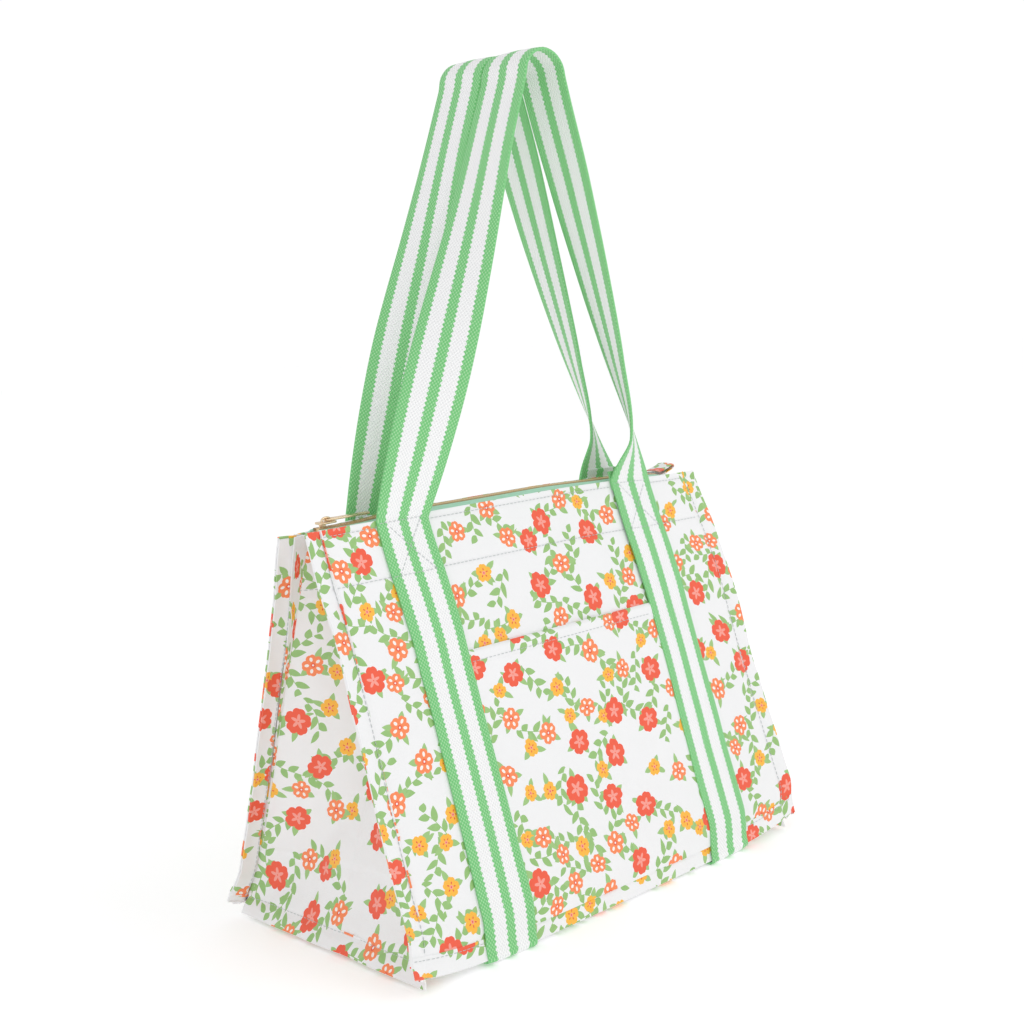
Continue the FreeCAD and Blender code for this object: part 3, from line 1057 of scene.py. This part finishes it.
def makeBase():
    kit = base
    reach = halfBase - kit["edge"]
    insideEnd = halfInside(0.0) - kit["end"]
    across = withSeams(evenly(-insideEnd, insideEnd, 0.006), (-0.145, 0.145), 0.002)
    along = evenly(-reach, reach, 0.006)
    # baseSpot is the under skin, and the cloth's thickness goes up from it
    layers = [clothLayer(lambda x, y: baseSpot(x, y, 0.0006), across, along, clothThick, (0, 0, -1),
                         lambda x, y: (x + 4.2, y))]
    piece = makePiece("base_cloth", layers, (floralCloth,))
    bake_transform(piece)
    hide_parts("base_panel")
    inner, side = insideEnd - kit["liningEnd"], reach - kit["edge"]
    layers = [clothLayer(lambda x, y: baseSpot(x, y, kit["liningUp"]), evenly(-inner, inner, 0.008),
                         evenly(-side, side, 0.008), kit["liningThick"], (0, 0, 1), lambda x, y: (x, y))]
    piece = makePiece("base_lining_cloth", layers, (mintLining,))
    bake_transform(piece)
    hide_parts("base_lining")


makeBase()


# Straps sewn down the panels
strap = {"thick": 0.0019, "overTop": 0.0062, "boxLow": 0.0335, "boxHigh": 0.0022, "inset": 0.0055}


def makeStrap(side, panelName, end, label, body):
    middle = end * strapX
    outward = (0.0, side, 0.0)
    topV = slantLength + strap["overTop"] * (0.5 + 0.5 * end)

    def out(share, v):
        edge = 0.0008 * abs(2.0 * share) ** 7
        above = 0.0006 * ramp(v, slantLength - 0.001, slantLength + 0.003)
        over = clothThick + 0.0004 if side < 0 and share * end < -0.42 else 0.0
        over += 0.0009 * (1.0 - ramp(v, up(wrapHeight), up(wrapHeight) + 0.004))
        under = 0.4 + 0.6 * ramp(v, turnReach - turnLength, turnReach)
        return (strap["thick"] + 0.0002 - edge - above + over * 0.55) * under

    def spot(share, v):
        return panelSpot(side, middle + share * webWidth, v, out(share, v))

    columns = [-0.5, -0.49, -0.47, -0.44] + evenly(-0.4, 0.4, 0.08) + [0.44, 0.47, 0.49, 0.5]
    rows = evenly(turnReach - turnLength - 0.006, turnReach - turnLength - 0.002, 0.002)
    rows += evenly(turnReach - turnLength, turnReach, 0.0006) + evenly(turnReach + 0.003, topV, 0.004)
    layers = [clothLayer(spot, columns, rows, 0.0013, outward, lambda share, v: (share, v))]
    inset = 0.5 - strap["inset"] / webWidth
    low, high = slantLength - strap["boxLow"], slantLength - strap["boxHigh"]
    lines = [[(-0.47, high), (0.47, high)], [(-0.47, low), (0.47, low)],
             [(-inset, low), (inset, high)], [(inset, low), (-inset, high)]]
    for (u0, v0), (u1, v1) in lines:
        path = []
        for k in range(15):
            share, v = u0 + (u1 - u0) * k / 14.0, v0 + (v1 - v0) * k / 14.0
            path.append(panelSpot(side, middle + share * webWidth, v, out(share, v) + 0.0001))
        layers.append(stitchLayer(path, outward))
    piece = makePiece("%s_%s_webbing" % (panelName, label), layers, (stripedWebbing, greyThread))
    attach(piece, body, "%s_%s_strap" % (panelName, label))


for strapSide, strapPanel, strapBody in ((-1, "front", "front_shell"), (1, "back", "back_shell")):
    makeStrap(strapSide, strapPanel, -1, "left", strapBody)
    makeStrap(strapSide, strapPanel, 1, "right", strapBody)
print("stage: straps made")


# Handles: one length of webbing each, from strap to strap
handle = {
    "rise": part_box("front_handle")[1].z - bodyHeight - 0.0013,
    "bend": 0.0170,             # radius at the top
    "shift": 0.0130,            # the top stands this far right of the middle
    "crown": (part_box("back_handle")[1].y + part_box("back_handle")[0].y) / 2,
    "foot": halfMouth + 0.0010,
    "overlap": 0.0050,          # goes on below the mouth, over the end of the strap
    "cup": 0.0007,
    "thick": 0.0019,
    "ring": 0.0035,
    "knee": 0.12,
    "leftTwist": ((0.0, 0.0), (0.16, 20.0), (0.36, 45.0), (0.58, 70.0), (0.80, 86.0)),
    "rightTwist": ((0.0, 0.0), (0.12, 40.0), (0.33, 62.0), (0.55, 76.0), (0.80, 87.0)),
}


def handleStations():
    kit = handle
    high = kit["rise"] - kit["bend"]
    leftTop, rightTop = kit["shift"] - kit["bend"], kit["shift"] + kit["bend"]
    stations = [(-strapX, -kit["overlap"], 0.0)]
    for share, twist in kit["leftTwist"]:
        stations.append((-strapX + (leftTop + strapX) * share, share * high, twist))
    steps = 6
    for k in range(steps + 1):
        turn = math.pi * k / steps
        stations.append((kit["shift"] - kit["bend"] * math.cos(turn), high + kit["bend"] * math.sin(turn), 90.0))
    for share, twist in reversed(kit["rightTwist"]):
        inward = max(0.0, share - kit["knee"]) / (1.0 - kit["knee"])
        stations.append((strapX + (rightTop - strapX) * inward, share * high, twist))
    stations.append((strapX, -kit["overlap"], 0.0))
    return [Vector(s) for s in stations]


def smoothRoute(stations, step):
    # a smooth line through the stations, with even rings
    route = []
    for k in range(len(stations) - 1):
        before, a = stations[max(k - 1, 0)], stations[k]
        b, after = stations[k + 1], stations[min(k + 2, len(stations) - 1)]
        gap = math.hypot(b.x - a.x, b.y - a.y)
        back = max(math.hypot(a.x - before.x, a.y - before.y), 1e-4)
        ahead = max(math.hypot(after.x - b.x, after.y - b.y), 1e-4)
        leave = (b - before) * (gap / (gap + back)) if k else (b - a)
        arrive = (after - a) * (gap / (gap + ahead)) if k < len(stations) - 2 else (b - a)
        count = max(2, round(gap / step))
        for n in range(count):
            t = n / count
            h = t * t * (3 - 2 * t)
            spot = a * (1 - h) + b * h + leave * (t * (1 - t) ** 2) - arrive * (t * t * (1 - t))
            route.append(spot)
    return route + [stations[-1].copy()]


def makeHandle(side, name):
    kit = handle
    route = smoothRoute(handleStations(), kit["ring"])
    half = kit["thick"] / 2
    section = []
    for k in range(5):
        turn = math.pi / 2 - math.pi * k / 4.0
        section.append((0.5 * webWidth - half * (1 - math.cos(turn)), half * math.sin(turn)))
    flats = [0.42, 0.25, 0.0, -0.25, -0.42]
    upper = [(u * webWidth, half) for u in reversed(flats)]
    lower = [(u * webWidth, -half) for u in flats]
    leftSide = [(-w, -t) for w, t in section]
    ring = upper + section + lower + leftSide
    corners, places = [], []
    run, last = 0.0, None
    for n, spot in enumerate(route):
        ahead, behind = route[min(n + 1, len(route) - 1)], route[max(n - 1, 0)]
        along = Vector((ahead.x - behind.x, 0.0, ahead.y - behind.y)).normalized()
        flat = Vector((-along.z, 0.0, along.x))
        turn = math.radians(min(90.0, max(0.0, spot.z)))
        width = flat * math.cos(turn) + Vector((0.0, math.sin(turn), 0.0))
        thick = along.cross(width)
        wave = 0.0008 * noise.noise(Vector((spot.x * 20.0, spot.y * 16.0, side * 2.0))) * ramp(spot.y, 0.0, 0.05)
        y = side * (kit["foot"] + (kit["crown"] - kit["foot"]) * math.sin(turn) + wave)
        if spot.y < 0.0:
            y -= side * spot.y * math.tan(slant)
        centre = Vector((spot.x, y, bodyHeight + 0.0003 + spot.y))
        if last is not None:
            run += (centre - last).length
        last = centre
        for w, t in ring:
            cup = kit["cup"] * (1.0 - (2.0 * w / webWidth) ** 2) * ramp(spot.y, 0.0, 0.05)
            corners.append(centre + width * w + thick * (t + cup))
            places.append((w / webWidth, run))
    faces = tubeFaces(len(route), len(ring))
    piece = makePiece(name + "_webbing", [layerOf(corners, faces, places)], (stripedWebbing,))
    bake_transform(piece)
    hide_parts(name)
    return run


handleLength = makeHandle(-1, "front_handle")
makeHandle(1, "back_handle")
print("stage: handles made, %.3f m each" % handleLength)


# The zip: two tapes that rise from the mouth to the rows of teeth
zipKit = {
    "tapeThick": 0.0008,
    "tooth": 0.0009,
    "pitch": 0.0015,
    "toothHigh": 0.0018,
    "lock": 0.0002,             # the rows reach this far past the middle line
    "endDroop": 0.0042,         # past where the slider can go, the end drops with the mouth
    "arch": 0.0021,
    "cloth": 0.0125,            # width of a tape, teeth to sewn edge
    "give": 0.045,              # length of tape that bends when the back opens away
    "stopBevel": 0.0005,
}


def zipRise(x):
    # the rows arch with the mouth between the slider's two ends
    arch = zipKit["arch"] * ramp(x, -0.135, -0.080) * (1.0 - ramp(x, 0.020, 0.104))
    return arch - zipKit["endDroop"] * ramp(x, 0.104, 0.160)


def makeZipSide(side, name, body):
    low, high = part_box("zip_tape_" + name)
    teethLow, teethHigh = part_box("zip_teeth_" + name)
    rowZ = (teethLow.z + teethHigh.z) / 2
    inner = min(abs(low.y), abs(high.y))

    def spot(across, x):
        # across is 0 at the teeth and 1 at the sewn edge
        y = inner - 0.0004 + (0.0100 - inner) * min(across, 0.72) / 0.72
        under = max(0.0, across - 0.72) / 0.28
        tape = rowZ + 0.0004 + zipRise(x)
        edge = bodyHeight - 0.0008 + mouthLift(x, side * 0.012)
        z = tape + (edge - tape) * ramp(across, 0.08, 0.80) - 0.0040 * under
        crown = 0.0004 * math.sin(x * 60.0) * math.sin(math.pi * min(1.0, across))
        return Vector((x, side * (y + 0.0006 * under), z + crown))

    def follow(piece):
        if body == "root":
            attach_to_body(piece, body)
        else:
            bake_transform(piece)

    across = evenly(0.0, 1.0, 0.1)
    along = evenly(low.x, high.x, 0.005)
    layers = [clothLayer(spot, across, along, zipKit["tapeThick"], (0, 0, 1),
                         lambda a, x: (a * zipKit["cloth"], x))]
    piece = makePiece("zip_tape_%s_cloth" % name, layers, (zipTapeCloth,))
    follow(piece)
    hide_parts("zip_tape_" + name)

    # teeth, and the cord they grip along the edge of the tape; the cord's dark brown is a painted shadow beside
    # the teeth
    corners, faces = [], []
    count = int((teethHigh.x - teethLow.x) / zipKit["pitch"])
    offset = 0.0 if side < 0 else zipKit["pitch"] / 2
    wide, tall = zipKit["tooth"] / 2, zipKit["toothHigh"] / 2
    for n in range(count):
        x = teethLow.x + 0.0008 + offset + n * zipKit["pitch"]
        if x + wide > teethHigh.x:
            continue
        z = rowZ + zipRise(x)
        first = len(corners)
        for y, half, rise in ((-zipKit["lock"], wide * 0.7, tall * 0.6), (0.0005, wide, tall * 0.92),
                              (0.0024, wide, tall), (0.0030, wide * 0.8, tall * 0.6)):
            for dx, dz in ((-half, -rise), (half, -rise), (half, rise), (-half, rise)):
                corners.append(Vector((x + dx, side * y, z + dz)))
        faces += [face if side > 0 else face[::-1] for face in tubeFaces(4, 4, first)]
    layers = [layerOf(corners, faces, [(0.0, 0.0)] * len(corners))]

    def cordSpot(turn, x):
        angle = 2.0 * math.pi * turn
        return Vector((x, side * (0.0029 + 0.0006 * math.cos(angle)),
                       rowZ + zipRise(x) + 0.0009 * math.sin(angle)))

    cord = clothLayer(cordSpot, evenly(0.0, 1.0, 0.125), evenly(teethLow.x, teethHigh.x, 0.004), 0.0001,
                      (0, side, 0), lambda t, x: (t * 0.004, x), 1)
    layers.append(cord)
    piece = makePiece("zip_teeth_%s_row" % name, layers, (goldTeeth, zipCordAndShadow), smooth=False)
    follow(piece)
    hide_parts("zip_teeth_" + name)


# a real cord, but its tan and dark brown colours paint the shadow along the row of teeth
zipCordAndShadow = wovenCloth("zipCordAndShadow", ink(196, 168, 122), ink(150, 124, 84), 0.0008)
makeZipSide(-1, "front", "root")
makeZipSide(1, "back", "back_shell")


def makeStop():
    # a small block with soft edges
    low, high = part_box("zip_end_stop")
    drop = zipRise(low.x)
    corners = [(x, y, z + drop) for x in (low.x, high.x) for y in (low.y, high.y) for z in (low.z, high.z)]
    faces = [(0, 1, 3, 2), (4, 6, 7, 5), (0, 4, 5, 1), (2, 3, 7, 6), (0, 2, 6, 4), (1, 5, 7, 3)]
    mesh = bpy.data.meshes.new("zip_stop_bar")
    mesh.from_pydata(corners, [], faces)
    mesh.materials.append(paleGold)
    piece = bpy.data.objects.new("zip_stop_bar", mesh)
    scene.collection.objects.link(piece)
    rounding = piece.modifiers.new("rounding", "BEVEL")
    rounding.width = zipKit["stopBevel"]
    rounding.segments = 3
    attach(piece, "root", "zip_end_stop")


makeStop()

endTab = {
    "rise": 0.40,               # how much of its box's height it climbs
    "long": 0.80,               # and how much of the box's length and width it takes
    "wide": 0.86,
    "nose": 0.0010,             # radius of the fold at its end
    "over": 0.0024,
    "under": 0.0004,
    "thick": 0.0006,
    "unfolded": 0.042,
}


def makeEndTab():
    # a scrap of the printed cloth folded over the end of the tape
    kit = endTab
    low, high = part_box("zip_end_tab")
    drop = zipRise(low.x)
    rise, long = (high.z - low.z) * kit["rise"], (high.x - low.x) * kit["long"]

    def edge(t, lift):
        return Vector((low.x + long * t, 0, low.z + lift + rise * t ** 1.4))

    profile = [edge(k / 8.0, kit["over"]) for k in range(9)]
    nose = profile[-1]
    for k in range(1, 6):
        turn = math.pi / 2 - math.pi * k / 6.0
        profile.append(nose + Vector((kit["nose"] * math.cos(turn), 0, kit["nose"] * (math.sin(turn) - 1.0))))
    profile += [edge(k / 8.0, kit["under"]) for k in range(8, -1, -1)]
    half = (high.y - low.y) / 2 * kit["wide"]

    def spot(share, k):
        bulge = 0.0006 * (1.0 - share * share) * (1.0 if k < 11 else -1.0)
        return profile[int(k)] + Vector((0.0, share * half, bulge + drop))

    steps = list(range(len(profile)))
    layers = [clothLayer(spot, evenly(-1.0, 1.0, 0.1), steps, kit["thick"], (0, 0, 1),
                         lambda s, k: (s * half + 5.03, k * 0.0022))]
    row = [profile[1] + Vector((0.001, s * half * 0.9, drop + 0.0008)) for s in evenly(-1.0, 1.0, 0.2)]
    layers.append(stitchLayer(row, (0, 0, 1)))
    piece = makePiece("zip_end_tab_cloth", layers, (floralCloth, greyThread))
    attach(piece, "root", "zip_end_tab")


makeEndTab()


# Slider, its bridge and the pull
slider = {
    "plateThick": 0.0011,
    "bevel": 0.00035,
    "tail": 0.86,               # half widths of the plates, as shares of the box
    "nose": 0.70,
    "round": 0.55,
    "postHalf": 0.0022,
    "postIn": 0.0032,
    "wire": 0.0007,             # radius of the arch that the pull hangs on
    "arch": 0.92,
}
pullTag = {
    "eye": (0.0012, 0.0058),    # from the turning end
    "slot": (0.0078, 0.0022),   # from the free end
    "wide": 0.96,
    "narrow": 0.78,
}


def outlinePlate(name, outlines, thick, bevel, centre, finish, tilt=0.0):
    # a flat plate from closed outlines in its own plane; the second and later ones are holes
    curve = bpy.data.curves.new(name, "CURVE")
    curve.dimensions = "2D"
    curve.fill_mode = "BOTH"
    curve.extrude = thick / 2 - bevel
    curve.bevel_depth = bevel
    curve.bevel_resolution = 2
    for outline in outlines:
        line = curve.splines.new("POLY")
        line.points.add(len(outline) - 1)
        for point, (x, y) in zip(line.points, outline):
            point.co = (x, y, 0.0, 1.0)
        line.use_cyclic_u = True
    holder = bpy.data.objects.new(name + "_outline", curve)
    scene.collection.objects.link(holder)
    bpy.context.view_layer.update()
    mesh = bpy.data.meshes.new_from_object(holder.evaluated_get(bpy.context.evaluated_depsgraph_get()))
    bpy.data.objects.remove(holder)
    mesh.transform(Matrix.Translation(centre) @ Matrix.Rotation(tilt, 4, "Y"))
    mesh.name = name
    mesh.materials.clear()
    mesh.materials.append(finish)
    piece = bpy.data.objects.new(name, mesh)
    scene.collection.objects.link(piece)
    return piece


def roundedOutline(low, high, halfLow, halfHigh, radius, steps=5):
    # a tapered bar along x with round corners
    corners = [(high - radius, halfHigh - radius, 0), (low + radius, halfLow - radius, 90),
               (low + radius, -halfLow + radius, 180), (high - radius, -halfHigh + radius, 270)]
    outline = []
    for x, y, start in corners:
        for k in range(steps + 1):
            turn = math.radians(start + 90.0 * k / steps)
            outline.append((x + radius * math.cos(turn), y + radius * math.sin(turn)))
    return outline


def tubeAlong(path, radius, sides=8):
    corners = []
    for n, spot in enumerate(path):
        way = (path[min(n + 1, len(path) - 1)] - path[max(n - 1, 0)]).normalized()
        sideways = way.cross(Vector((0.03, 0.02, 1.0))).normalized()
        over = sideways.cross(way)
        for k in range(sides):
            turn = 2.0 * math.pi * k / sides
            corners.append(spot + sideways * (radius * math.cos(turn)) + over * (radius * math.sin(turn)))
    return layerOf(corners, tubeFaces(len(path), sides), [(0.0, 0.0)] * len(corners))


def joinInto(pieces, name):
    for other in scene.objects:
        other.select_set(False)
    for piece in pieces:
        piece.select_set(True)
    bpy.context.view_layer.objects.active = pieces[0]
    bpy.ops.object.join()
    pieces[0].name = name
    pieces[0].data.name = name
    return pieces[0]


def makeSlider():
    low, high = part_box("slider_body")
    middle = (low + high) / 2
    long, half = (high.x - low.x) / 2, (high.y - low.y) / 2
    thick = slider["plateThick"]
    outline = roundedOutline(-long, long, half * slider["tail"], half * slider["nose"], half * slider["round"], 6)
    plates = []
    for k, z in enumerate((low.z + thick / 2, high.z - thick / 2)):
        plates.append(outlinePlate("slider_plate_%d" % k, [outline], thick, slider["bevel"],
                                   Vector((middle.x, 0, z)), paleGold))
    post = outlinePlate("slider_post",
                        [roundedOutline(-slider["postHalf"], slider["postHalf"], 0.0004, 0.0004, 0.0003, 3)],
                        high.z - low.z - thick, 0.0001, Vector((low.x + slider["postIn"], 0, middle.z)), paleGold)
    body = joinInto(plates + [post], "slider_plates")
    attach(body, "zip_slider", "slider_body")

    low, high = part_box("slider_bridge")
    path = []
    for k in range(17):
        turn = math.pi * k / 16.0
        bulge = math.sin(turn) ** 0.6
        path.append(Vector(((low.x + high.x) / 2 - (high.x - low.x) / 2 * math.cos(turn) * slider["arch"], 0,
                            low.z - 0.0002 + (high.z - low.z - 0.0006) * bulge)))
    bridge = makePiece("slider_arch", [tubeAlong(path, slider["wire"])], (paleGold,))
    attach(bridge, "zip_slider", "slider_bridge")

    low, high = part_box("slider_pull")
    z = (low.z + high.z) / 2
    half = (high.y - low.y) / 2
    long = high.x - low.x
    outer = roundedOutline(0.0, long, half * pullTag["wide"], half * pullTag["narrow"], half * 0.7, 6)
    eye = roundedOutline(*pullTag["eye"], half * 0.60, half * 0.55, half * 0.4, 5)
    slot = roundedOutline(long - pullTag["slot"][0], long - pullTag["slot"][1], half * 0.34, half * 0.34,
                          half * 0.3, 5)
    pull = outlinePlate("slider_pull_tag", [outer, eye, slot], high.z - low.z, slider["bevel"],
                        Vector((low.x, 0, z)), paleGold)
    attach(pull, "zip_pull", "slider_pull")
    for piece in (body, pull):
        piece.data.polygons.foreach_set("use_smooth", [True] * len(piece.data.polygons))
        piece.data.set_sharp_from_angle(angle=math.radians(35.0))


makeSlider()
print("stage: zip made")


# Floor, light and camera
studio = {
    "floorSize": 14.0,
    "sky": 0.81,
    "backdrop": 1.02,
    "floorGlow": 0.24,          # a lit table, so that the underside of the bag is not grey
    "keyPower": 11.0,
    "keyPlace": (0.9, -2.1, 1.9),
    "fillPower": 2.5,
    "fillPlace": (-2.2, -0.9, 1.3),
}


def makeStudio():
    mesh = bpy.data.meshes.new("floor")
    half = studio["floorSize"] / 2
    low = min(0.0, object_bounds()[0].z) - 0.0002
    mesh.from_pydata([(-half, -half, low), (half, -half, low), (half, half, low), (-half, half, low)], [],
                     [(0, 1, 2, 3)])
    floor = bpy.data.objects.new("floor", mesh)
    scene.collection.objects.link(floor)
    material, tree, shader = shaderFor("paleFloor")
    where = tree.nodes.new("ShaderNodeTexCoord").outputs["Object"]
    feed(tree, mixed(tree, noised(tree, where, 3.0), ink(250, 250, 250), ink(247, 247, 248)),
         shader.inputs["Base Color"])
    setValues(shader, {"Roughness": 0.9, "Emission Color": (1.0, 1.0, 1.0, 1.0),
                       "Emission Strength": studio["floorGlow"]})
    mesh.materials.append(material)
    world = bpy.data.worlds.new("studio")
    scene.world = world
    world.use_nodes = True
    # the light of the room, and a white backdrop behind the bag
    background = world.node_tree.nodes["Background"]
    background.inputs[0].default_value = (1.0, 1.0, 1.0, 1.0)
    seen = world.node_tree.nodes.new("ShaderNodeLightPath").outputs["Is Camera Ray"]
    strength = calc(world.node_tree, "MULTIPLY_ADD", seen, studio["backdrop"] - studio["sky"], studio["sky"])
    feed(world.node_tree, strength, background.inputs[1])
    for name, power, place, size in (("key", studio["keyPower"], studio["keyPlace"], 1.6),
                                     ("fill", studio["fillPower"], studio["fillPlace"], 1.8)):
        lamp = bpy.data.lights.new(name, "AREA")
        lamp.energy = power
        lamp.size = size
        holder = bpy.data.objects.new(name, lamp)
        holder.location = place
        holder.rotation_mode = "QUATERNION"
        holder.rotation_quaternion = (Vector((0, 0, 0.2)) - Vector(place)).to_track_quat("-Z", "Y")
        scene.collection.objects.link(holder)
    scene.view_settings.view_transform = "Standard"


camera = {"place": (-0.6823, -0.7100, 0.3737), "azimuth": -43.99, "elevation": 7.96, "roll": -3.0, "lens": 55.26}


def makeCamera():
    data = bpy.data.cameras.new("camera")
    data.lens = camera["lens"]
    data.sensor_width = 36.0
    data.clip_start = 0.01
    holder = bpy.data.objects.new("camera", data)
    around, above = math.radians(camera["azimuth"]), math.radians(camera["elevation"])
    roll = math.radians(camera["roll"])
    back = Vector((math.sin(around) * math.cos(above), -math.cos(around) * math.cos(above), math.sin(above)))
    right = (-back).cross(Vector((0, 0, 1))).normalized()
    over = right.cross(-back)
    turnedRight = right * math.cos(roll) + over * math.sin(roll)
    turnedOver = over * math.cos(roll) - right * math.sin(roll)
    axes = Matrix((turnedRight, turnedOver, back)).transposed()
    holder.matrix_world = Matrix.Translation(camera["place"]) @ axes.to_4x4()
    scene.collection.objects.link(holder)
    scene.camera = holder


makeStudio()
makeCamera()
print("stage: studio made")
